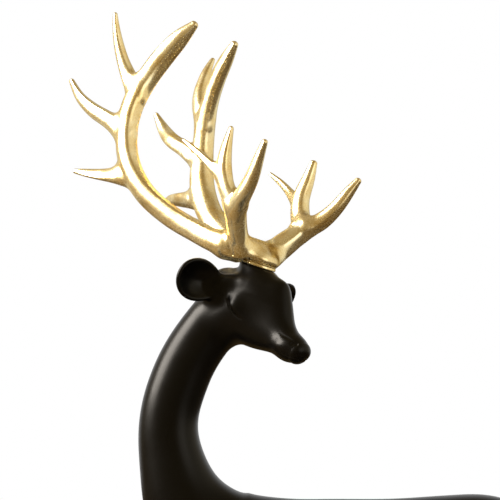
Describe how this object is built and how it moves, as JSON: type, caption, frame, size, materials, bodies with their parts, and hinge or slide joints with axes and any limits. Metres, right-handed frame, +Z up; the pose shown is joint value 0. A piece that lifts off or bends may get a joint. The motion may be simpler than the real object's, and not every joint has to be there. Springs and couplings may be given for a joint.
{
  "type": "reindeer figurine",
  "caption": "Standing reindeer figurine looking back over its shoulder, with wide branched antlers as one lift-off casting, on a low oval base.",
  "frame": {"origin": "middle of the underside of the oval base", "axes": "+X towards the deer's tail, -Y towards the viewer, who sees the deer's left flank, +Z up"},
  "size_m": [0.3799, 0.2341, 0.6307],
  "materials": {
    "deer": "satin black paint on cast resin",
    "antlers": "pale gold leaf, softly polished",
    "base": "satin black paint on cast resin"
  },
  "bodies": {
    "root": {"deer": "deer", "antlers": "antlers", "base": "base"}
  },
  "joints": []
}
